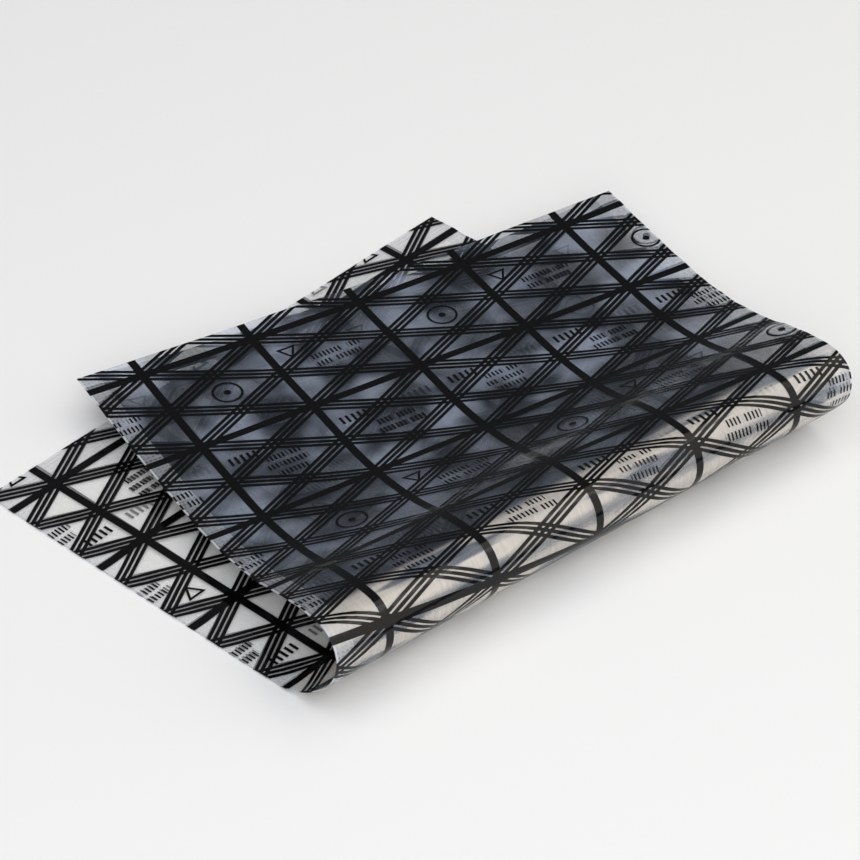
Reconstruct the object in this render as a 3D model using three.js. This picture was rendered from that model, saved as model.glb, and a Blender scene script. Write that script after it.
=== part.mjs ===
// Anti-static grid bag: two walls of printed clear film, heat sealed along both sides and across one
// end, open at the other end, and folded over once into a soft, springy roll.
// Millimetres, +Z up. The fold runs along X at the front (-Y), and the lower leaf lies on Z = 0.

import * as THREE from 'three';
import { mergeVertices } from 'three/addons/utils/BufferGeometryUtils.js';

// Flat bag, before it is folded
const BAG_WIDTH = 152;
const BAG_LENGTH = 254;
const FILM = 0.1;
const SIDE_SEAL = 5;
const END_SEAL = 8;

// Air that keeps the two walls apart, and the lengths over which they part
const WALL_GAP = 0.8;
const MOUTH_GAP = 2.6;
const MOUTH_FLARE = 34;
const PARTING = 26;

// Fold: how much of the bag lies on the table, and how far the roll runs off square, in degrees
const LOWER_LEAF = 104;
const FOLD_SKEW = 7.9;

// Length of film in each part of the folded section, from the table up round the roll to the mouth
const TOE_LENGTH = 23.6;
const NOSE_LENGTH = 16;
const CREST_LENGTH = 21.3;
const SLOPE_LENGTH = 39.3;
const BACK_LENGTH = 43;

// The roll in section: arcs of film, each with the turn in degrees that it makes
const ROLL_ARCS = [
  { length: TOE_LENGTH, turn: 61 },
  { length: NOSE_LENGTH, turn: 128.4 },
  { length: CREST_LENGTH, turn: 14.4 },
];

// The upper leaf in section: it slopes down from the roll, then levels out towards the mouth
const LEAF_ARCS = [
  { length: SLOPE_LENGTH, turn: -23.2 },
  { length: BACK_LENGTH, turn: -5.2 },
];

// The middle of the mouth hangs lower than its two corners
const MOUTH_SAG = 1.6;
const SAG_REACH = 40;

// Facets: their longest side across the bag, along its leaves and round the roll
const ACROSS_STEP = 9;
const LEAF_STEP = 9;
const ROLL_STEP = 1.8;

// Finish of the film under its black grid print
const FILM_COLOUR = 0x6f7889;
const FILM_ROUGHNESS = 0.22;

const skew = THREE.MathUtils.degToRad(FOLD_SKEW);
const halfWidth = BAG_WIDTH / 2;
const halfPocket = halfWidth - SIDE_SEAL;
const pocketLength = BAG_LENGTH - END_SEAL;
const rollEnd = BAG_LENGTH - LOWER_LEAF;
const rollFilm = ROLL_ARCS.reduce((sum, arc) => sum + arc.length, 0);
const rollStart = rollEnd - rollFilm / Math.cos(skew);

/** Smooth rise from 0 to 1 while x goes from 0 to 1. */
function ease(x) {
  return THREE.MathUtils.smoothstep(x, 0, 1);
}

/** The folded section after a length of film measured from where it leaves the table. */
function section(length) {
  let heading = 0;
  let back = Math.max(-length, 0);
  let up = 0;
  let left = Math.max(length, 0);
  for (const arc of [...ROLL_ARCS, ...LEAF_ARCS]) {
    const run = Math.min(left, arc.length);
    const curvature = THREE.MathUtils.degToRad(arc.turn) / arc.length;
    const next = heading + curvature * run;
    back -= (Math.sin(next) - Math.sin(heading)) / curvature;
    up -= (Math.cos(next) - Math.cos(heading)) / curvature;
    heading = next;
    left -= run;
  }
  back -= left * Math.cos(heading);
  up += left * Math.sin(heading);
  return { back, up, heading };
}

/** Air between the walls at a place on the flat bag: none at the seals, most at the mouth. */
function air(across, along) {
  const lens = Math.sqrt(Math.max(1 - (across / halfPocket) ** 2, 0));
  const parted = ease((pocketLength - along) / PARTING);
  const mouth = ease(1 - along / MOUTH_FLARE);
  return lens * parted * THREE.MathUtils.lerp(WALL_GAP, MOUTH_GAP, mouth);
}

/** How far the upper leaf hangs at a place on the flat bag. */
function sag(across, along) {
  return MOUTH_SAG * ease(1 - along / SAG_REACH) * Math.cos((Math.PI * across) / BAG_WIDTH);
}

/** Takes a place on the flat bag, at a depth below its outer skin, to its place on the table. */
function fold(across, along, depth) {
  const fromRoll = rollEnd - along;
  const { back, up, heading } = section(fromRoll * Math.cos(skew) - across * Math.sin(skew));
  const x = across * Math.cos(skew) + fromRoll * Math.sin(skew);
  const y = back + depth * Math.sin(heading);
  const z = up + depth * Math.cos(heading) - sag(across, along);
  return new THREE.Vector3(x, y, z);
}

/** Evenly spaced stations from start to end, no further apart than step. */
function stations(start, end, step) {
  const count = Math.ceil((end - start) / step);
  return Array.from({ length: count + 1 }, (_, i) => THREE.MathUtils.lerp(start, end, i / count));
}

/** Stations along the bag's centre line, from the mouth to the start of the end seal. */
function alongStations() {
  return [
    ...stations(0, rollStart, LEAF_STEP),
    ...stations(rollStart, rollEnd, ROLL_STEP).slice(1),
    ...stations(rollEnd, pocketLength, LEAF_STEP).slice(1),
  ];
}

/** Leans a station along the roll's own direction where the film is bent; both ends stay square. */
function lean(across, along) {
  const upper = ease(along / rollStart);
  const lower = ease((pocketLength - along) / (pocketLength - rollEnd));
  return along - across * Math.tan(skew) * upper * lower;
}

/** Row of points across the bag at a station, at the depth that the given function returns. */
function row(acrossAll, station, depthAt) {
  return acrossAll.map((across) => {
    const along = lean(across, station);
    return fold(across, along, depthAt(across, along));
  });
}

/** The bag as one closed body: an outer skin, a pocket inside it and a rim at the open mouth. */
function bagGeometry() {
  const pocket = stations(-halfPocket, halfPocket, ACROSS_STEP);
  const full = [-halfWidth, ...pocket, halfWidth];
  const openStations = alongStations();
  const last = full.length - 1;
  const corners = [];

  const face = (a, b, c, d) => corners.push(a, b, c, a, c, d);
  const skin = (station) => ({
    under: row(full, station, () => 0),
    over: row(full, station, (across, along) => 2 * FILM + air(across, along)),
  });
  const lining = (station) => ({
    under: row(pocket, station, () => FILM),
    over: row(pocket, station, (across, along) => FILM + air(across, along)),
  });

  // Outer skin, station by station, with the two cut edges of the side seals
  const skins = [...openStations, BAG_LENGTH].map(skin);
  for (let i = 1; i < skins.length; i += 1) {
    const [near, far] = [skins[i - 1], skins[i]];
    for (let j = 0; j < last; j += 1) {
      face(near.under[j], far.under[j], far.under[j + 1], near.under[j + 1]);
      face(near.over[j + 1], far.over[j + 1], far.over[j], near.over[j]);
    }
    face(near.over[0], far.over[0], far.under[0], near.under[0]);
    face(near.under[last], far.under[last], far.over[last], near.over[last]);
  }

  // Pocket between the walls, pinched shut where the seals start
  const linings = openStations.map(lining);
  for (let i = 1; i < linings.length; i += 1) {
    const [near, far] = [linings[i - 1], linings[i]];
    for (let j = 0; j < pocket.length - 1; j += 1) {
      face(near.under[j], near.under[j + 1], far.under[j + 1], far.under[j]);
      face(near.over[j + 1], near.over[j], far.over[j], far.over[j + 1]);
    }
  }

  // Cut edge of the closed end
  const end = skins[skins.length - 1];
  for (let j = 0; j < last; j += 1) {
    face(end.under[j], end.over[j], end.over[j + 1], end.under[j + 1]);
  }

  // Cut edges of both walls at the mouth, and the ends of the two side seals
  const outer = skins[0];
  const inner = linings[0];
  for (let j = 0; j < pocket.length - 1; j += 1) {
    face(outer.under[j + 1], outer.under[j + 2], inner.under[j + 1], inner.under[j]);
    face(inner.over[j], inner.over[j + 1], outer.over[j + 2], outer.over[j + 1]);
  }
  const leftPinch = inner.under[0];
  const rightPinch = inner.under[pocket.length - 1];
  face(outer.under[0], outer.under[1], leftPinch, outer.over[1]);
  corners.push(outer.under[0], outer.over[1], outer.over[0]);
  face(outer.under[last], outer.over[last], outer.over[last - 1], rightPinch);
  corners.push(outer.under[last], rightPinch, outer.under[last - 1]);

  return closedGeometry(corners);
}

/** Joins loose triangles into one closed surface and drops those that a pinch leaves with no area. */
function closedGeometry(corners) {
  const merged = mergeVertices(new THREE.BufferGeometry().setFromPoints(corners));
  const index = merged.getIndex();
  const kept = [];
  for (let i = 0; i < index.count; i += 3) {
    const triangle = [index.getX(i), index.getX(i + 1), index.getX(i + 2)];
    if (new Set(triangle).size === 3) kept.push(...triangle);
  }
  merged.setIndex(kept);
  merged.computeVertexNormals();
  return merged;
}

/** Moves a geometry so that the middle of its footprint is the origin and its underside is Z = 0. */
function seat(geometry) {
  geometry.computeBoundingBox();
  const { min, max } = geometry.boundingBox;
  return geometry.translate(-(min.x + max.x) / 2, -(min.y + max.y) / 2, -min.z);
}

const film = new THREE.MeshStandardMaterial({
  color: FILM_COLOUR,
  roughness: FILM_ROUGHNESS,
  metalness: 0,
});
const bag = new THREE.Mesh(seat(bagGeometry()), film);
bag.name = 'bag';

const group = new THREE.Group();
group.name = 'grid_bag';
group.add(bag);

export default group;
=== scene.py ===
"""Looks of an anti-static grid bag: clear printed film, folded over into a soft, springy roll.

Lengths of the bag are millimetres while it is flat and while it is folded, as in the CAD part, and
turn to metres when its mesh is finished. The studio is in metres.
"""

import logging
import math
from dataclasses import dataclass, field
from enum import Enum
from typing import Dict, List, Optional, Sequence, Tuple, Union

import bmesh
import bpy
from mathutils import Matrix, Vector

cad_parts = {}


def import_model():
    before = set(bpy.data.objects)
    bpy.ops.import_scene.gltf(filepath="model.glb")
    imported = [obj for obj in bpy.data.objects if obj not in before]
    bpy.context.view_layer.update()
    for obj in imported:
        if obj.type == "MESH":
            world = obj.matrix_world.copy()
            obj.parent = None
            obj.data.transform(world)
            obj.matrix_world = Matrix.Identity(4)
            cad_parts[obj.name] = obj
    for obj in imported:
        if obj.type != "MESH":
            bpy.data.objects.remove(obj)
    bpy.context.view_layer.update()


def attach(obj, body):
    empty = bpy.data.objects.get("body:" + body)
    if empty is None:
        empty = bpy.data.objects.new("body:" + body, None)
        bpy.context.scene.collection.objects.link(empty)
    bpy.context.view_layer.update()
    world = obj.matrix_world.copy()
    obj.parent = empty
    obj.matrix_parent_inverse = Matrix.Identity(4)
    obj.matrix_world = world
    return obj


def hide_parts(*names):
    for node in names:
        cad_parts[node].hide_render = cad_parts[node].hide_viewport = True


LOG = logging.getLogger("grid_bag")
MILLIMETRE = 0.001

# The mesh's own layers: its flat film as a UV map, and two distances in millimetres of film
FLAT_MAP = "flat_film"
TABLE_LAYER = "from_table"
ASIDE_LAYER = "from_centre_line"

Socket = bpy.types.NodeSocket
Value = Union[Socket, float, Sequence[float]]


def srgb(code: str) -> Tuple[float, float, float, float]:
    """Turns an sRGB hex colour to linear.

    Args:
        code: Six hex digits, red first.

    Returns:
        Linear red, green, blue and an alpha of 1.
    """
    parts = [int(code[i:i + 2], 16) / 255 for i in (0, 2, 4)]
    linear = [c / 12.92 if c <= 0.04045 else ((c + 0.055) / 1.055) ** 2.4 for c in parts]
    return (linear[0], linear[1], linear[2], 1.0)


def add_node(
    tree: bpy.types.NodeTree,
    kind: str,
    inputs: Optional[Dict[Union[int, str], Value]] = None,
    **settings: object,
) -> bpy.types.Node:
    """Adds a node to a tree, with its settings and its links.

    Args:
        tree: Node tree of a material or a world.
        kind: The node's type name.
        inputs: What goes into each socket: another node's output, or a plain value.
        **settings: Properties of the node itself.

    Returns:
        The new node.
    """
    node = tree.nodes.new(kind)
    for name, setting in settings.items():
        setattr(node, name, setting)
    for key, value in (inputs or {}).items():
        if isinstance(value, bpy.types.NodeSocket):
            tree.links.new(value, node.inputs[key])
        else:
            node.inputs[key].default_value = value
    return node


def ease(x: float) -> float:
    """Smooth rise from 0 to 1 while x goes from 0 to 1."""
    x = min(max(x, 0.0), 1.0)
    return x * x * (3 - 2 * x)


class Wall(Enum):
    """The two walls of the bag."""

    OUTER = "outer"
    INNER = "inner"


@dataclass(frozen=True)
class Arc:
    """One bend of the folded film in section: its length of film, and its turn in degrees."""

    length: float
    turn: float


# How far the inner wall's print drifts off the outer one's, in each millimetre along the bag
MIRROR_DRIFT = 0.007
ROW_DRIFT = 0.0033


@dataclass(frozen=True)
class GridPrint:
    """Sizes of the print on the flat film, in millimetres.

    Bars run along and across the bag, and bands of three thin lines run through their crossings.
    """

    pitch: float = 30.0
    first_bar: float = -1.5
    first_row: float = 6.0
    bar: float = 2.1
    line: float = 1.0
    line_spacing: float = 1.5
    band_slope: float = 0.5
    mirror_shift: float = 0.92
    row_shift: float = 1.1
    outer_margin: float = 90.0
    inner_margin: float = 300.0

    def place(self, wall: Wall, across: float, along: float) -> Tuple[float, float]:
        """Where a place on a wall lies on the printed web, whose bars stand at whole pitches.

        The print of the inner wall mirrors that of the outer one and drifts a little off it.

        Args:
            wall: Wall of the bag.
            across: Distance from the bag's centre line.
            along: Distance from the mouth.

        Returns:
            Place across and along the web.
        """
        if wall is Wall.OUTER:
            return across - self.first_bar + self.outer_margin, along - self.first_row
        aside = self.mirror_shift - MIRROR_DRIFT * along
        ahead = self.row_shift - ROW_DRIFT * along
        return (
            self.inner_margin + aside - (across - self.first_bar),
            along - self.first_row + ahead,
        )


# Middle and half size of each group of ticks, in millimetres, in a repeat of two pitches
Box = Tuple[float, float, float, float]
TICK_ROWS: Tuple[Box, ...] = (
    (42.7, 48.0, 1.7, 0.85), (47.0, 48.0, 2.0, 0.85),
    (41.2, 45.0, 1.5, 0.85), (46.6, 45.0, 3.4, 0.85),
    (43.4, 42.0, 2.6, 0.85), (48.2, 42.0, 1.4, 0.85),
    (12.6, 46.6, 4.0, 1.0), (19.4, 46.6, 2.0, 1.0),
    (12.2, 43.3, 2.2, 1.0), (17.6, 43.3, 2.4, 1.0),
    (11.0, 16.5, 2.4, 0.95), (17.6, 16.5, 3.6, 0.95),
    (13.2, 13.4, 4.4, 0.95), (20.6, 13.4, 1.6, 0.95),
)
TICK_PITCH = 1.05
# The bolder group of ticks beside every bar, in a repeat of one pitch across and two along
BOLD_ROWS: Tuple[Box, ...] = ((6.4, 38.5, 4.2, 1.35),)
BOLD_PITCH = 1.6
# Share of ink in a row of ticks
TICK_SHARE = 0.46
# A ring with a dot, and a triangle whose sides stand off its middle by its reach
RING_MIDDLE = (45.0, 15.0)
RING_RADIUS = 3.55
RING_STROKE = 0.6
DOT_RADIUS = 0.9
TRIANGLE_MIDDLE = (5.4, 8.2)
TRIANGLE_REACH = 1.2
SIN_60 = 0.866
COS_60 = 0.5

# How steeply reflectance rises towards a grazing look, by Schlick's rule
SCHLICK_POWER = 5.0


@dataclass(frozen=True)
class GridFilm:
    """Clear low-density polyethylene, blown as a tube and printed with black carbon ink.

    The film is thin and glossy. Its upper leaf carries painted shade and reflection, a dark
    blue-grey in soft paler patches, darker near the roll; its roll a cream painted reflection in
    long bands, with painted shade between them and beside the nose; and its lower leaf is nearly
    clear, with a faint white painted light. Its seals are pale, and its cut edges carry a thin
    painted highlight.
    Sizes are millimetres, the painted tint starts and ends at lengths of film from the table, and
    pairs are the start and end of a ramp.
    """

    print_sizes: GridPrint
    half_width: float
    half_pocket: float
    pocket_length: float
    # Painted shade and reflection on the upper leaf: a dark blue-grey for its shaded inside seen
    # through the film and its bluish reflection, with paler patches
    leaf_shade_and_reflection: str = "353b46"
    leaf_pale_patch: str = "b4c0d6"
    # Painted light on the lower leaf: a faint white for the lit floor seen through it
    table_painted_light: str = "f6f6f4"
    # Painted shade in bands on the roll
    bend_shade: str = "6f7887"
    # Pale colour of the heat seals, also used for the painted highlight along the cut edges
    seal_pale_and_edge_highlight: str = "d8dbe0"
    # Cream painted reflection on the roll
    bend_painted_reflection: str = "ebe5dc"
    ink: str = "080809"
    reflectance: float = 0.03
    grazing: float = 0.5
    gloss_roughness: float = 0.11
    # How much one face lays on of the painted light and shade: on the upper leaf, on the roll and
    # on the lower leaf
    leaf_opacity: float = 0.24
    bend_opacity: float = 0.36
    table_opacity: float = 0.1
    ink_opacity: float = 0.97
    # Pale seals, and a thin painted highlight along the cut edges
    seal_and_edge_opacity: float = 0.06
    edge_highlight_width: float = 0.45
    edge_highlight_strength: float = 2.0
    seal_and_edge_tint: float = 0.5
    body_roughness: float = 0.4
    rib_pitch: float = 1.2
    rib_gap_paleness: float = 0.4
    rib_relief: float = 0.1
    handling_size: float = 7.0
    handling_height: float = 0.4
    bump_strength: float = 0.5
    streak_scale: Tuple[float, float, float] = (1.2, 0.12, 0.0)
    streak_detail: float = 3.0
    streak_roughness: float = 0.6
    streak_noise: Tuple[float, float] = (0.3, 0.7)
    streak_opacity: Tuple[float, float] = (0.86, 1.14)
    patch_scale: float = 0.055
    patch_noise: Tuple[float, float] = (0.42, 0.68)
    # Sizes of the bands of painted reflection on the roll
    bend_scale: float = 0.16
    bend_squeeze: float = 0.18
    bend_noise: Tuple[float, float] = (0.38, 0.5)
    cloud_detail: float = 2.0
    # Band of painted shade beside the nose
    nose_place: float = 30.6
    nose_reach: Tuple[float, float] = (0.6, 2.6)
    nose_shade_lightness: float = 0.35
    table_end: Tuple[float, float] = (-3.0, 9.0)
    leaf_start: Tuple[float, float] = (41.5, 45.5)
    # Painted shade on the upper leaf near the roll: its ramp, and the share of lightness left where
    # it starts
    slope_shade_ramp: Tuple[float, float] = (48.0, 92.0)
    slope_shade_lightness: float = 0.25

    def material(self) -> bpy.types.Material:
        """Makes the material of the printed film.

        Returns:
            Clear polyethylene film with black carbon ink on it.
        """
        material = bpy.data.materials.new("printed_polyethylene_film")
        material.use_nodes = True
        tree = material.node_tree
        tree.nodes.clear()
        web = add_node(tree, "ShaderNodeUVMap", uv_map=FLAT_MAP)
        in_mm = add_node(
            tree, "ShaderNodeVectorMath",
            {0: web.outputs[0], 1: (1 / MILLIMETRE, 1 / MILLIMETRE, 0.0)},
            operation="MULTIPLY",
        )
        split = add_node(tree, "ShaderNodeSeparateXYZ", {0: in_mm.outputs[0]})
        across, along = split.outputs[0], split.outputs[1]
        ink = self._ink(tree, across, along)
        from_table, aside = (
            add_node(
                tree, "ShaderNodeAttribute", attribute_type="GEOMETRY", attribute_name=layer,
            ).outputs["Fac"]
            for layer in (TABLE_LAYER, ASIDE_LAYER)
        )
        streak = self._streaks(tree, in_mm.outputs[0])
        painted_tint, opacity = self._painted_tint(tree, in_mm.outputs[0], from_table, streak)
        seal, edge = self._seals(tree, across, along, aside)
        # Seals are paler film; along the cut edges a thin painted highlight is laid on
        pale = add_node(
            tree, "ShaderNodeMath", {0: edge, 1: self.edge_highlight_strength, 2: seal},
            operation="MULTIPLY_ADD",
        )
        opacity = add_node(
            tree, "ShaderNodeMath", {0: pale.outputs[0], 1: self.seal_and_edge_opacity, 2: opacity},
            operation="MULTIPLY_ADD",
        ).outputs[0]
        paleness = add_node(
            tree, "ShaderNodeMath", {0: pale.outputs[0], 1: self.seal_and_edge_tint}, operation="MULTIPLY",
            use_clamp=True,
        )
        painted_tint = add_node(
            tree, "ShaderNodeMix", {0: paleness.outputs[0], 6: painted_tint, 7: srgb(self.seal_pale_and_edge_highlight)},
            data_type="RGBA",
        ).outputs[2]
        colour = add_node(
            tree, "ShaderNodeMix", {0: ink, 6: painted_tint, 7: srgb(self.ink)},
            data_type="RGBA",
        ).outputs[2]
        cover = add_node(
            tree, "ShaderNodeMix", {0: ink, 2: opacity, 3: self.ink_opacity},
            data_type="FLOAT",
        ).outputs[0]
        see_through = add_node(tree, "ShaderNodeBsdfTransparent", {"Color": (1, 1, 1, 1)})
        body = add_node(
            tree, "ShaderNodeBsdfPrincipled",
            {
                "Base Color": colour,
                "Roughness": self.body_roughness,
                "Specular IOR Level": 0.0,
            },
        )
        film = add_node(
            tree, "ShaderNodeMixShader",
            {0: cover, 1: see_through.outputs[0], 2: body.outputs[0]},
        )
        handled = add_node(
            tree, "ShaderNodeTexNoise",
            {
                "Vector": in_mm.outputs[0],
                "Scale": 1 / self.handling_size,
                "Detail": self.cloud_detail,
            },
        )
        relief = add_node(
            tree, "ShaderNodeMath", {0: seal, 1: self.rib_relief, 2: handled.outputs[0]},
            operation="MULTIPLY_ADD",
        )
        uneven = add_node(
            tree, "ShaderNodeBump",
            {
                "Strength": self.bump_strength,
                "Distance": self.handling_height * MILLIMETRE,
                "Height": relief.outputs[0],
            },
        )
        shine = add_node(
            tree, "ShaderNodeBsdfAnisotropic",
            {
                "Color": (1, 1, 1, 1),
                "Roughness": self.gloss_roughness,
                "Normal": uneven.outputs[0],
            },
        )
        surface = add_node(
            tree, "ShaderNodeMixShader",
            {0: self._fresnel(tree), 1: film.outputs[0], 2: shine.outputs[0]},
        )
        add_node(tree, "ShaderNodeOutputMaterial", {"Surface": surface.outputs[0]})
        return material

    def _fresnel(self, tree: bpy.types.NodeTree) -> Socket:
        """Share of light that one face reflects, the same from both sides of the thin film.

        Args:
            tree: The material's node tree.

        Returns:
            The share, from the reflectance seen straight on to that at a grazing look.
        """
        facing = add_node(tree, "ShaderNodeLayerWeight", {"Blend": 0.5}).outputs["Facing"]
        steep = add_node(tree, "ShaderNodeMath", {0: facing, 1: SCHLICK_POWER}, operation="POWER")
        return add_node(
            tree, "ShaderNodeMapRange",
            {"Value": steep.outputs[0], "To Min": self.reflectance, "To Max": self.grazing},
        ).outputs[0]

    def _stripes(
        self, tree: bpy.types.NodeTree, place: Socket, pitch: float, width: float,
    ) -> Socket:
        """Stripes of ink at whole pitches.

        Args:
            tree: The material's node tree.
            place: Distance across the stripes, in millimetres.
            pitch: Distance from one stripe to the next.
            width: Width of a stripe.

        Returns:
            1 inside a stripe and 0 outside.
        """
        off = add_node(tree, "ShaderNodeMath", {0: place, 1: pitch / 2}, operation="PINGPONG")
        return add_node(
            tree, "ShaderNodeMath", {0: off.outputs[0], 1: width / 2}, operation="LESS_THAN",
        ).outputs[0]

    def _band(self, tree: bpy.types.NodeTree, place: Socket) -> Socket:
        """Bands of three thin lines, twice in each pitch.

        Args:
            tree: The material's node tree.
            place: Distance across the bands, in millimetres along the bag.

        Returns:
            1 inside a line and 0 outside.
        """
        sizes = self.print_sizes
        half = sizes.pitch / 4
        off = add_node(tree, "ShaderNodeMath", {0: place, 1: half}, operation="PINGPONG")
        lines = self._stripes(tree, off.outputs[0], sizes.line_spacing, sizes.line)
        reach = sizes.line_spacing + sizes.line / 2
        near = add_node(
            tree, "ShaderNodeMath", {0: off.outputs[0], 1: reach}, operation="LESS_THAN",
        )
        return add_node(
            tree, "ShaderNodeMath", {0: lines, 1: near.outputs[0]}, operation="MULTIPLY",
        ).outputs[0]

    def _ink(self, tree: bpy.types.NodeTree, across: Socket, along: Socket) -> Socket:
        """All of the print: 1 where there is ink.

        Args:
            tree: The material's node tree.
            across: Place across the web in millimetres.
            along: Place along the web in millimetres.

        Returns:
            Mask of the ink.
        """
        sizes = self.print_sizes
        rising = add_node(
            tree, "ShaderNodeMath", {0: across, 1: sizes.band_slope, 2: along},
            operation="MULTIPLY_ADD",
        )
        falling = add_node(
            tree, "ShaderNodeMath", {0: across, 1: -sizes.band_slope, 2: along},
            operation="MULTIPLY_ADD",
        )
        marks = self._marks(tree, across, along)
        masks = [
            self._stripes(tree, across, sizes.pitch, sizes.bar),
            self._stripes(tree, along, sizes.pitch, sizes.bar),
            self._band(tree, rising.outputs[0]),
            self._band(tree, falling.outputs[0]),
            marks,
        ]
        return self._union(tree, masks)

    def _union(self, tree: bpy.types.NodeTree, masks: List[Socket]) -> Socket:
        """Joins masks into one that is 1 where any of them is.

        Args:
            tree: The material's node tree.
            masks: Masks of 0 and 1, at least one of them.

        Returns:
            The joined mask.
        """
        total = masks[0]
        for mask in masks[1:]:
            total = add_node(
                tree, "ShaderNodeMath", {0: total, 1: mask}, operation="MAXIMUM",
            ).outputs[0]
        return total

    def _boxes(
        self, tree: bpy.types.NodeTree, x: Socket, y: Socket, boxes: Sequence[Box],
    ) -> Socket:
        """Upright rectangles.

        Args:
            tree: The material's node tree.
            x: Place across the web in millimetres.
            y: Place along the web in millimetres.
            boxes: Middle and half size of each rectangle.

        Returns:
            1 inside any of them.
        """
        masks = []
        for middle_x, middle_y, half_x, half_y in boxes:
            in_x = add_node(
                tree, "ShaderNodeMath", {0: x, 1: middle_x, 2: half_x}, operation="COMPARE",
            )
            in_y = add_node(
                tree, "ShaderNodeMath", {0: y, 1: middle_y, 2: half_y}, operation="COMPARE",
            )
            masks.append(add_node(
                tree, "ShaderNodeMath", {0: in_x.outputs[0], 1: in_y.outputs[0]},
                operation="MULTIPLY",
            ).outputs[0])
        return self._union(tree, masks)

    def _marks(self, tree: bpy.types.NodeTree, across: Socket, along: Socket) -> Socket:
        """Small marks between the bars: rings, triangles, and rows of ticks in place of words.

        Args:
            tree: The material's node tree.
            across: Place across the web in millimetres.
            along: Place along the web in millimetres.

        Returns:
            Mask of the marks.
        """
        pitch = self.print_sizes.pitch
        x, y, x_bar = (
            add_node(
                tree, "ShaderNodeMath", {0: place, 1: reach, 2: 0.0}, operation="WRAP",
            ).outputs[0]
            for place, reach in ((across, 2 * pitch), (along, 2 * pitch), (across, pitch))
        )
        small = add_node(
            tree, "ShaderNodeMath",
            {
                0: self._boxes(tree, x, y, TICK_ROWS),
                1: self._stripes(tree, x, TICK_PITCH, TICK_PITCH * TICK_SHARE),
            },
            operation="MULTIPLY",
        )
        large = add_node(
            tree, "ShaderNodeMath",
            {
                0: self._boxes(tree, x_bar, y, BOLD_ROWS),
                1: self._stripes(tree, x_bar, BOLD_PITCH, BOLD_PITCH * TICK_SHARE),
            },
            operation="MULTIPLY",
        )
        return self._union(
            tree,
            [
                small.outputs[0], large.outputs[0],
                self._ring(tree, x, y), self._triangle(tree, x, y),
            ],
        )

    def _from_middle(
        self, tree: bpy.types.NodeTree, x: Socket, y: Socket, middle: Tuple[float, float],
    ) -> Tuple[Socket, Socket]:
        """Place counted from a mark's middle, in millimetres.

        Args:
            tree: The material's node tree.
            x: Place across the web.
            y: Place along the web.
            middle: The mark's middle on the web.

        Returns:
            Place across and along, from the middle.
        """
        return tuple(
            add_node(
                tree, "ShaderNodeMath", {0: place, 1: centre}, operation="SUBTRACT",
            ).outputs[0]
            for place, centre in zip((x, y), middle)
        )

    def _ring(self, tree: bpy.types.NodeTree, x: Socket, y: Socket) -> Socket:
        """A plain ring with a dot in it.

        Args:
            tree: The material's node tree.
            x: Place across the web in millimetres.
            y: Place along the web in millimetres.

        Returns:
            1 in the ring and in the dot.
        """
        from_x, from_y = self._from_middle(tree, x, y, RING_MIDDLE)
        place = add_node(tree, "ShaderNodeCombineXYZ", {0: from_x, 1: from_y})
        radius = add_node(
            tree, "ShaderNodeVectorMath", {0: place.outputs[0]}, operation="LENGTH",
        ).outputs["Value"]
        ring = add_node(
            tree, "ShaderNodeMath", {0: radius, 1: RING_RADIUS, 2: RING_STROKE / 2},
            operation="COMPARE",
        )
        dot = add_node(tree, "ShaderNodeMath", {0: radius, 1: DOT_RADIUS}, operation="LESS_THAN")
        return self._union(tree, [ring.outputs[0], dot.outputs[0]])

    def _triangle(self, tree: bpy.types.NodeTree, x: Socket, y: Socket) -> Socket:
        """A plain outlined triangle.

        Args:
            tree: The material's node tree.
            x: Place across the web in millimetres.
            y: Place along the web in millimetres.

        Returns:
            1 in its outline.
        """
        from_x, from_y = self._from_middle(tree, x, y, TRIANGLE_MIDDLE)
        aside = add_node(tree, "ShaderNodeMath", {0: from_x}, operation="ABSOLUTE")
        half = add_node(tree, "ShaderNodeMath", {0: from_y, 1: COS_60}, operation="MULTIPLY")
        slanted = add_node(
            tree, "ShaderNodeMath", {0: aside.outputs[0], 1: SIN_60, 2: half.outputs[0]},
            operation="MULTIPLY_ADD",
        )
        below = add_node(tree, "ShaderNodeMath", {0: from_y, 1: -1.0}, operation="MULTIPLY")
        out = add_node(
            tree, "ShaderNodeMath", {0: slanted.outputs[0], 1: below.outputs[0]},
            operation="MAXIMUM",
        )
        return add_node(
            tree, "ShaderNodeMath", {0: out.outputs[0], 1: TRIANGLE_REACH, 2: RING_STROKE / 2},
            operation="COMPARE",
        ).outputs[0]

    def _streaks(self, tree: bpy.types.NodeTree, place: Socket) -> Socket:
        """Fine streaks, 0.8 mm wide, that blowing the film leaves along it.

        Args:
            tree: The material's node tree.
            place: Place on the web in millimetres.

        Returns:
            Noise of the streaks.
        """
        stretched = add_node(
            tree, "ShaderNodeVectorMath", {0: place, 1: self.streak_scale}, operation="MULTIPLY",
        )
        return add_node(
            tree, "ShaderNodeTexNoise",
            {
                "Vector": stretched.outputs[0],
                "Scale": 1.0,
                "Detail": self.streak_detail,
                "Roughness": self.streak_roughness,
            },
        ).outputs[0]

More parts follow.
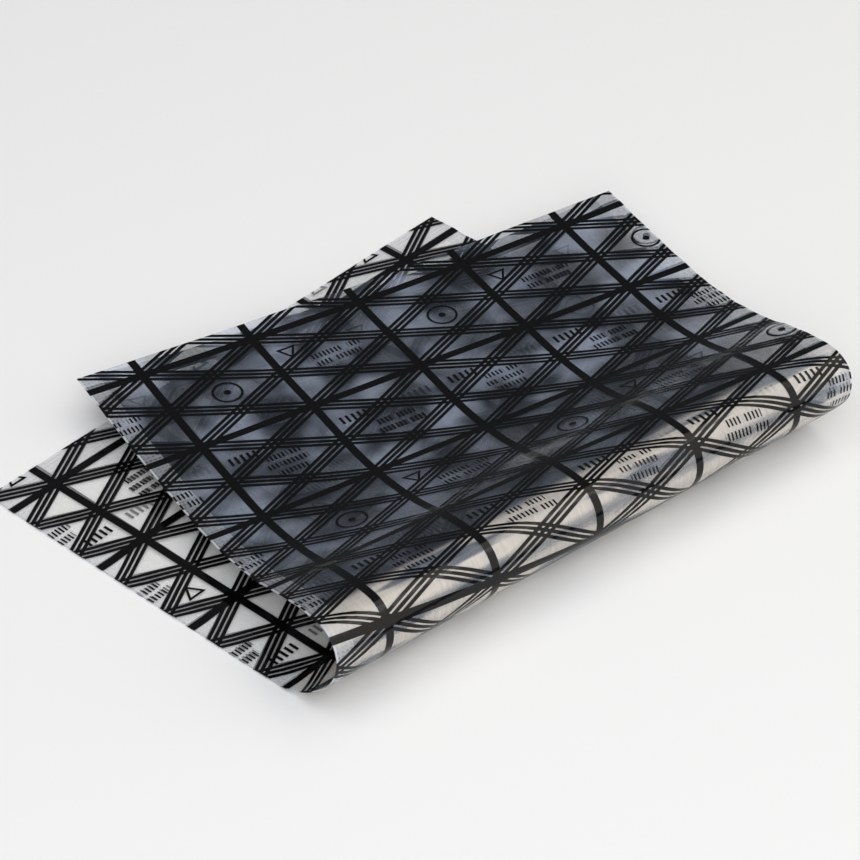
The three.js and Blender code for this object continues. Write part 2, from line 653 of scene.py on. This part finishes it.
    def _bend_reflection_bands(
        self, tree: bpy.types.NodeTree, place: Socket, from_table: Socket,
    ) -> Socket:
        """Painted reflection along the roll: long soft pale bands, some 6 mm wide, with painted
        shade between them and beside the nose.

        Args:
            tree: The material's node tree.
            place: Place on the web in millimetres.
            from_table: Length of film from where it leaves the table, in millimetres.

        Returns:
            0 in painted shade and 1 in the pale painted reflection.
        """
        across = add_node(tree, "ShaderNodeSeparateXYZ", {0: place}).outputs[0]
        squeezed = add_node(
            tree, "ShaderNodeMath", {0: across, 1: self.bend_squeeze}, operation="MULTIPLY",
        )
        along_roll = add_node(
            tree, "ShaderNodeCombineXYZ", {0: squeezed.outputs[0], 1: from_table},
        )
        bands = add_node(
            tree, "ShaderNodeTexNoise",
            {
                "Vector": along_roll.outputs[0],
                "Scale": self.bend_scale,
                "Detail": self.cloud_detail,
            },
        )
        pale = add_node(
            tree, "ShaderNodeMapRange",
            {
                "Value": bands.outputs[0],
                "From Min": self.bend_noise[0],
                "From Max": self.bend_noise[1],
            },
            interpolation_type="SMOOTHSTEP",
        )
        # Painted shade: the pale bands give way to the shaded colour beside the nose
        off_nose = add_node(
            tree, "ShaderNodeMath", {0: from_table, 1: self.nose_place}, operation="SUBTRACT",
        )
        from_nose = add_node(
            tree, "ShaderNodeMath", {0: off_nose.outputs[0]}, operation="ABSOLUTE",
        )
        beside_nose = add_node(
            tree, "ShaderNodeMapRange",
            {
                "Value": from_nose.outputs[0],
                "From Min": self.nose_reach[0],
                "From Max": self.nose_reach[1],
                "To Min": self.nose_shade_lightness,
            },
            interpolation_type="SMOOTHSTEP",
        )
        return add_node(
            tree, "ShaderNodeMath", {0: pale.outputs[0], 1: beside_nose.outputs[0]},
            operation="MULTIPLY",
        ).outputs[0]

    def _seals(
        self, tree: bpy.types.NodeTree, across: Socket, along: Socket, aside: Socket,
    ) -> Tuple[Socket, Socket]:
        """Heat seals, with the fine cross ribs of the sealing bar, and a painted highlight along
        the film's cut edges.

        Args:
            tree: The material's node tree.
            across: Place across the web in millimetres.
            along: Place along the web in millimetres.
            aside: Distance from the bag's centre line in millimetres.

        Returns:
            Mask of the ribbed seals, and mask of the painted highlight along the cut edges.
        """
        sizes = self.print_sizes
        # The second mask is a painted highlight along the cut edges
        side, edge = (
            add_node(
                tree, "ShaderNodeMath", {0: aside, 1: limit}, operation="GREATER_THAN",
            ).outputs[0]
            for limit in (self.half_pocket, self.half_width - self.edge_highlight_width)
        )
        end = add_node(
            tree, "ShaderNodeMath", {0: along, 1: self.pocket_length - sizes.first_row},
            operation="GREATER_THAN",
        ).outputs[0]
        ribs = self._stripes(tree, along, self.rib_pitch, self.rib_pitch / 2)
        cross_ribs = self._stripes(tree, across, self.rib_pitch, self.rib_pitch / 2)
        crossed = self._union(tree, [ribs, cross_ribs])
        ribbed = add_node(
            tree, "ShaderNodeMapRange", {"Value": crossed, "To Min": self.rib_gap_paleness},
        ).outputs[0]
        seal = add_node(
            tree, "ShaderNodeMath", {0: self._union(tree, [side, end]), 1: ribbed},
            operation="MULTIPLY",
        ).outputs[0]
        return seal, edge

    def _painted_tint(
        self, tree: bpy.types.NodeTree, place: Socket, from_table: Socket, streak: Socket,
    ) -> Tuple[Socket, Socket]:
        """Colour and opacity of painted light and shade on the film between its lines, from the
        table to the mouth.

        Args:
            tree: The material's node tree.
            place: Place on the web in millimetres.
            from_table: Length of film from where it leaves the table, in millimetres.
            streak: Noise of the streaks.

        Returns:
            Painted colour, and its opacity on one face.
        """
        off_table = add_node(
            tree, "ShaderNodeMapRange",
            {
                "Value": from_table,
                "From Min": self.table_end[0],
                "From Max": self.table_end[1],
            },
            interpolation_type="SMOOTHSTEP",
        )
        on_leaf = add_node(
            tree, "ShaderNodeMapRange",
            {
                "Value": from_table,
                "From Min": self.leaf_start[0],
                "From Max": self.leaf_start[1],
            },
            interpolation_type="SMOOTHSTEP",
        )
        low = add_node(
            tree, "ShaderNodeMix",
            {0: off_table.outputs[0], 2: self.table_opacity, 3: self.bend_opacity},
            data_type="FLOAT",
        )
        opacity = add_node(
            tree, "ShaderNodeMix",
            {0: on_leaf.outputs[0], 2: low.outputs[0], 3: self.leaf_opacity}, data_type="FLOAT",
        )
        uneven = add_node(
            tree, "ShaderNodeMapRange",
            {
                "Value": streak,
                "From Min": self.streak_noise[0],
                "From Max": self.streak_noise[1],
                "To Min": self.streak_opacity[0],
                "To Max": self.streak_opacity[1],
            },
        )
        opacity = add_node(
            tree, "ShaderNodeMath", {0: opacity.outputs[0], 1: uneven.outputs[0]},
            operation="MULTIPLY",
        )
        patchy = add_node(
            tree, "ShaderNodeTexNoise",
            {"Vector": place, "Scale": self.patch_scale, "Detail": self.cloud_detail},
        )
        lightness = add_node(
            tree, "ShaderNodeMapRange",
            {
                "Value": patchy.outputs[0],
                "From Min": self.patch_noise[0],
                "From Max": self.patch_noise[1],
            },
            interpolation_type="SMOOTHSTEP",
        )
        # Painted shade: the upper leaf is darker near the roll and lighter towards the mouth
        slope_darkening = add_node(
            tree, "ShaderNodeMapRange",
            {
                "Value": from_table,
                "From Min": self.slope_shade_ramp[0],
                "From Max": self.slope_shade_ramp[1],
                "To Min": self.slope_shade_lightness,
            },
        )
        lit = add_node(
            tree, "ShaderNodeMath", {0: lightness.outputs[0], 1: slope_darkening.outputs[0]},
            operation="MULTIPLY",
        )
        # Painted shade and reflection of the upper leaf, in soft paler patches
        leaf = add_node(
            tree, "ShaderNodeMix",
            {0: lit.outputs[0], 6: srgb(self.leaf_shade_and_reflection), 7: srgb(self.leaf_pale_patch)},
            data_type="RGBA",
        )
        # Painted reflection on the roll, in bands of painted shade
        bend = add_node(
            tree, "ShaderNodeMix",
            {
                0: self._bend_reflection_bands(tree, place, from_table),
                6: srgb(self.bend_shade),
                7: srgb(self.bend_painted_reflection),
            },
            data_type="RGBA",
        )
        # Painted light: a faint white where the film lies on the table
        lower = add_node(
            tree, "ShaderNodeMix",
            {0: off_table.outputs[0], 6: srgb(self.table_painted_light), 7: bend.outputs[2]},
            data_type="RGBA",
        )
        painted_tint = add_node(
            tree, "ShaderNodeMix",
            {0: on_leaf.outputs[0], 6: lower.outputs[2], 7: leaf.outputs[2]},
            data_type="RGBA",
        )
        return painted_tint.outputs[2], opacity.outputs[0]


# The fine wave of the leaves, as a share of the broad one
FINE_WAVE = 0.35
# A length in millimetres that counts as none, and the angle from which an edge is drawn sharp
NEARLY_NOTHING = 1e-5
SHARP_EDGE = math.radians(40)


@dataclass
class GridBag:
    """The bag: two walls of film, sealed at both sides and one end, and folded over into a roll."""

    width: float = 152.0
    length: float = 254.0
    film: float = 0.1
    side_seal: float = 5.0
    end_seal: float = 8.0
    wall_gap: float = 0.8
    mouth_gap: float = 2.6
    mouth_flare: float = 34.0
    parting: float = 26.0
    lower_leaf: float = 104.0
    skew_degrees: float = 7.9
    toe: Arc = Arc(23.6, 61.0)
    nose: Arc = Arc(16.0, 128.4)
    crest: Arc = Arc(21.3, 14.4)
    slope: Arc = Arc(39.3, -23.2)
    back: Arc = Arc(43.0, -5.2)
    mouth_sag: float = 1.6
    sag_reach: float = 40.0
    seam_clearance: float = 0.01
    across_cells: int = 76
    along_cells: int = 170
    ripple: float = 0.32
    ripple_reach: float = 13.0
    wave: float = 0.3
    print_sizes: GridPrint = field(default_factory=GridPrint)

    @property
    def half_pocket(self) -> float:
        """Half the width between the side seals."""
        return self.width / 2 - self.side_seal

    @property
    def pocket_length(self) -> float:
        """Length of the bag from its mouth to its end seal."""
        return self.length - self.end_seal

    @property
    def roll_end(self) -> float:
        """Distance from the mouth to where the film comes down on the table."""
        return self.length - self.lower_leaf

    @property
    def skew(self) -> float:
        """How far the roll runs off square, in radians."""
        return math.radians(self.skew_degrees)

    def section(self, length: float) -> Tuple[float, float, float]:
        """The folded section after a length of film from where it leaves the table.

        Args:
            length: Length of film; below 0 it is on the table.

        Returns:
            Distance back, height and heading in radians.
        """
        heading, up = 0.0, 0.0
        back = max(-length, 0.0)
        left = max(length, 0.0)
        for arc in (self.toe, self.nose, self.crest, self.slope, self.back):
            run = min(left, arc.length)
            curvature = math.radians(arc.turn) / arc.length
            after = heading + curvature * run
            back -= (math.sin(after) - math.sin(heading)) / curvature
            up -= (math.cos(after) - math.cos(heading)) / curvature
            heading = after
            left -= run
        return back - left * math.cos(heading), up + left * math.sin(heading), heading

    def air(self, across: float, along: float) -> float:
        """Air between the walls at a place on the flat bag."""
        lens = math.sqrt(max(1 - (across / self.half_pocket) ** 2, 0.0))
        parted = ease((self.pocket_length - along) / self.parting)
        mouth = ease(1 - along / self.mouth_flare)
        return lens * parted * (self.wall_gap + (self.mouth_gap - self.wall_gap) * mouth)

    def from_table(self, across: float, along: float) -> float:
        """Length of film between a place on the flat bag and where the film leaves the table."""
        from_roll = self.roll_end - along
        return from_roll * math.cos(self.skew) - across * math.sin(self.skew)

    def fold(self, across: float, along: float, depth: float) -> Vector:
        """Takes a place on the flat bag to its place in the folded one.

        Args:
            across: Distance from the centre line.
            along: Distance from the mouth.
            depth: Depth below the bag's outer skin.

        Returns:
            The place in millimetres, before the bag is centred.
        """
        from_roll = self.roll_end - along
        back, up, heading = self.section(self.from_table(across, along))
        sag = self.mouth_sag * ease(1 - along / self.sag_reach)
        sag *= math.cos(math.pi * across / self.width)
        return Vector((
            across * math.cos(self.skew) + from_roll * math.sin(self.skew),
            back + depth * math.sin(heading),
            up + depth * math.cos(heading) - sag,
        ))

    def unevenness(self, across: float, along: float) -> float:
        """How far the film stands off its even form: seams pucker, and the leaves wave a little.

        Args:
            across: Distance from the centre line.
            along: Distance from the mouth.

        Returns:
            Depth to add, in millimetres, never below 0.
        """
        half = self.width / 2
        near_side = ease(1 - (half - abs(across)) / self.ripple_reach)
        side = 1.0 if across > 0 else -1.0
        pucker = math.sin(along * 0.56 + side * 1.3) * math.sin(along * 0.131 + side * 0.7)
        broad = math.sin(across * 0.083 + along * 0.047 + 0.6)
        broad *= math.cos(along * 0.121 - across * 0.021)
        fine = FINE_WAVE * math.sin(across * 0.19 - along * 0.093 + 2.1)
        deepest = 1 + FINE_WAVE
        return (
            self.ripple * near_side * (1 + pucker) / 2
            + self.wave * (1 - near_side) * (deepest + broad + fine) / (2 * deepest)
        )

    def _flat_mesh(self) -> bmesh.types.BMesh:
        """Makes the flat bag, with its two walls joined at the seals.

        Returns:
            Mesh with across as X, along as Y and depth as Z, in millimetres.
        """
        bm = bmesh.new()
        bmesh.ops.create_grid(
            bm, x_segments=self.across_cells, y_segments=self.along_cells, size=0.5,
        )
        bmesh.ops.scale(bm, vec=(self.width, self.length, 1.0), verts=bm.verts)
        bmesh.ops.translate(bm, vec=(0.0, self.length / 2, 0.0), verts=bm.verts)
        outer = list(bm.faces)
        copied = bmesh.ops.duplicate(bm, geom=bm.verts[:] + bm.edges[:] + bm.faces[:])
        bmesh.ops.reverse_faces(bm, faces=outer)
        for vert in (g for g in copied["geom"] if isinstance(g, bmesh.types.BMVert)):
            vert.co.z = 2 * self.film + self.air(vert.co.x, vert.co.y)
        sealed = [
            edge for edge in bm.edges
            if edge.is_boundary and any(v.co.y > NEARLY_NOTHING for v in edge.verts)
        ]
        bmesh.ops.bridge_loops(bm, edges=sealed)
        bmesh.ops.recalc_face_normals(bm, faces=bm.faces)
        return bm

    def build(self) -> bpy.types.Object:
        """Builds the folded bag as one closed mesh, with its flat film as its UV map.

        Returns:
            The bag, in metres, with the middle of its footprint at the origin.
        """
        bm = self._flat_mesh()
        bmesh.ops.solidify(bm, geom=bm.faces[:], thickness=self.film - self.seam_clearance)
        table = bm.verts.layers.float.new(TABLE_LAYER)
        aside = bm.verts.layers.float.new(ASIDE_LAYER)
        flat = bm.loops.layers.uv.new(FLAT_MAP)
        for face in bm.faces:
            middle = face.calc_center_median()
            half = self.film + self.air(middle.x, middle.y) / 2
            wall = Wall.OUTER if middle.z < half + NEARLY_NOTHING else Wall.INNER
            for loop in face.loops:
                place = self.print_sizes.place(wall, loop.vert.co.x, loop.vert.co.y)
                loop[flat].uv = (place[0] * MILLIMETRE, place[1] * MILLIMETRE)
        even = []
        bm.verts.ensure_lookup_table()
        for vert in bm.verts:
            across, along, depth = vert.co
            vert[table] = self.from_table(across, along)
            vert[aside] = abs(across)
            even.append(self.fold(across, along, depth))
            vert.co = self.fold(across, along, depth + self.unevenness(across, along))
        middle = Vector((
            (min(p.x for p in even) + max(p.x for p in even)) / 2,
            (min(p.y for p in even) + max(p.y for p in even)) / 2,
            0.0,
        ))
        bmesh.ops.translate(bm, vec=-middle, verts=bm.verts)
        bmesh.ops.scale(bm, vec=(MILLIMETRE, MILLIMETRE, MILLIMETRE), verts=bm.verts)
        for face in bm.faces:
            face.smooth = True
        for edge in bm.edges:
            edge.smooth = edge.calc_face_angle(0.0) < SHARP_EDGE
        mesh = bpy.data.meshes.new("film_bag")
        bm.to_mesh(mesh)
        bm.free()
        bag = bpy.data.objects.new("film_bag", mesh)
        bpy.context.scene.collection.objects.link(bag)
        return bag

    def dress(self, bag: bpy.types.Object) -> None:
        """Gives the bag its film, and tells the frame what it is.

        Args:
            bag: The built bag.
        """
        film = GridFilm(self.print_sizes, self.width / 2, self.half_pocket, self.pocket_length)
        bag.data.materials.append(film.material())
        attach(bag, "root")
        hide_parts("bag")


@dataclass(frozen=True)
class Softbox:
    """A studio lamp: where it hangs, where it aims, its size and how bright its face is."""

    name: str
    place: Tuple[float, float, float]
    aim: Tuple[float, float, float]
    width: float
    height: float
    radiance: float
    colour: str

    def build(self) -> bpy.types.Object:
        """Adds the lamp to the scene.

        Returns:
            The lamp, turned to its aim.
        """
        lamp = bpy.data.lights.new(self.name, "AREA")
        lamp.shape = "RECTANGLE"
        lamp.size = self.width
        lamp.size_y = self.height
        lamp.energy = self.radiance * math.pi * self.width * self.height
        lamp.color = srgb(self.colour)[:3]
        box = bpy.data.objects.new(self.name, lamp)
        box.location = self.place
        towards = Vector(self.aim) - Vector(self.place)
        box.rotation_euler = towards.to_track_quat("-Z", "Y").to_euler()
        bpy.context.scene.collection.objects.link(box)
        return box


@dataclass
class Studio:
    """A plain pale floor, soft lamps and the camera."""

    floor_reach: float = 6.0
    floor_drop: float = 0.0001
    floor_colour: str = "f4f4f3"
    world_colour: str = "eef1f6"
    world_strength: float = 0.2
    eye: Tuple[float, float, float] = (-0.435882, -0.554098, 0.569952)
    elevation: float = 38.9013
    azimuth: float = 38.4024
    roll: float = -0.7637
    lens: float = 158.7455
    lamps: List[Softbox] = field(default_factory=lambda: [
        Softbox("top_softbox", (-0.3, -0.35, 1.6), (0.0, 0.1, 0.0), 2.2, 2.2, 1.17, "f8faff"),
        Softbox("side_softbox", (-0.9, -1.3, 1.0), (0.0, 0.0, 0.0), 1.3, 1.3, 3.0, "ffffff"),
        Softbox(
            "front_softbox", (0.75, -0.85, 0.95), (0.0, -0.05, 0.01), 1.5, 1.6, 0.85, "fff8ee",
        ),
        Softbox("crest_softbox", (0.72, 0.25, 1.3), (0.0, 0.0, 0.0), 0.7, 0.7, 1.2, "fff4e4"),
    ])

    def floor(self) -> bpy.types.Object:
        """Lays the floor just under the bag.

        Returns:
            The floor, a plain sheet of matt paper.
        """
        bm = bmesh.new()
        bmesh.ops.create_grid(bm, x_segments=1, y_segments=1, size=self.floor_reach)
        bmesh.ops.translate(bm, vec=(0.0, 0.0, -self.floor_drop), verts=bm.verts)
        mesh = bpy.data.meshes.new("studio_floor")
        bm.to_mesh(mesh)
        bm.free()
        floor = bpy.data.objects.new("studio_floor", mesh)
        bpy.context.scene.collection.objects.link(floor)
        material = bpy.data.materials.new("matt_paper_floor")
        material.use_nodes = True
        tree = material.node_tree
        tree.nodes.clear()
        paper = add_node(
            tree, "ShaderNodeBsdfPrincipled",
            {"Base Color": srgb(self.floor_colour), "Roughness": 0.9, "Specular IOR Level": 0.1},
        )
        add_node(tree, "ShaderNodeOutputMaterial", {"Surface": paper.outputs[0]})
        mesh.materials.append(material)
        return floor

    def light(self) -> None:
        """Adds the world's even light and the lamps."""
        world = bpy.data.worlds.new("soft_room")
        bpy.context.scene.world = world
        world.use_nodes = True
        tree = world.node_tree
        tree.nodes.clear()
        room = add_node(
            tree, "ShaderNodeBackground",
            {"Color": srgb(self.world_colour), "Strength": self.world_strength},
        )
        add_node(tree, "ShaderNodeOutputWorld", {"Surface": room.outputs[0]})
        for lamp in self.lamps:
            lamp.build()

    def camera(self) -> None:
        """Sets the camera where the photograph was taken from, at its focal length."""
        rise, turn, roll = (math.radians(a) for a in (self.elevation, self.azimuth, self.roll))
        forward = Vector((
            math.sin(turn) * math.cos(rise), math.cos(turn) * math.cos(rise), -math.sin(rise),
        ))
        level = Vector((math.cos(turn), -math.sin(turn), 0.0))
        upright = level.cross(forward)
        right = level * math.cos(roll) + upright * math.sin(roll)
        up = upright * math.cos(roll) - level * math.sin(roll)
        lens = bpy.data.cameras.new("photo_camera")
        lens.sensor_width = 36.0
        lens.lens = self.lens
        lens.clip_start = 0.01
        camera = bpy.data.objects.new("photo_camera", lens)
        turned = Matrix((right, up, -forward)).transposed().to_4x4()
        camera.matrix_world = Matrix.Translation(self.eye) @ turned
        bpy.context.scene.collection.objects.link(camera)
        bpy.context.scene.camera = camera


def main() -> None:
    """Builds the bag and its studio in order."""
    logging.basicConfig(level=logging.INFO, format="%(name)s: %(message)s")
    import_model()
    scene = bpy.context.scene
    scene.view_settings.view_transform = "Standard"
    # Each wall of the folded bag has two faces, and a look through the roll passes up to 16 of them
    scene.cycles.transparent_max_bounces = 40
    studio = Studio()
    studio.camera()
    studio.light()
    floor = studio.floor()
    bag_maker = GridBag()
    bag = bag_maker.build()
    bag_maker.dress(bag)
    LOG.info("bag: %d faces", len(bag.data.polygons))


if __name__ == "__main__":
    main()
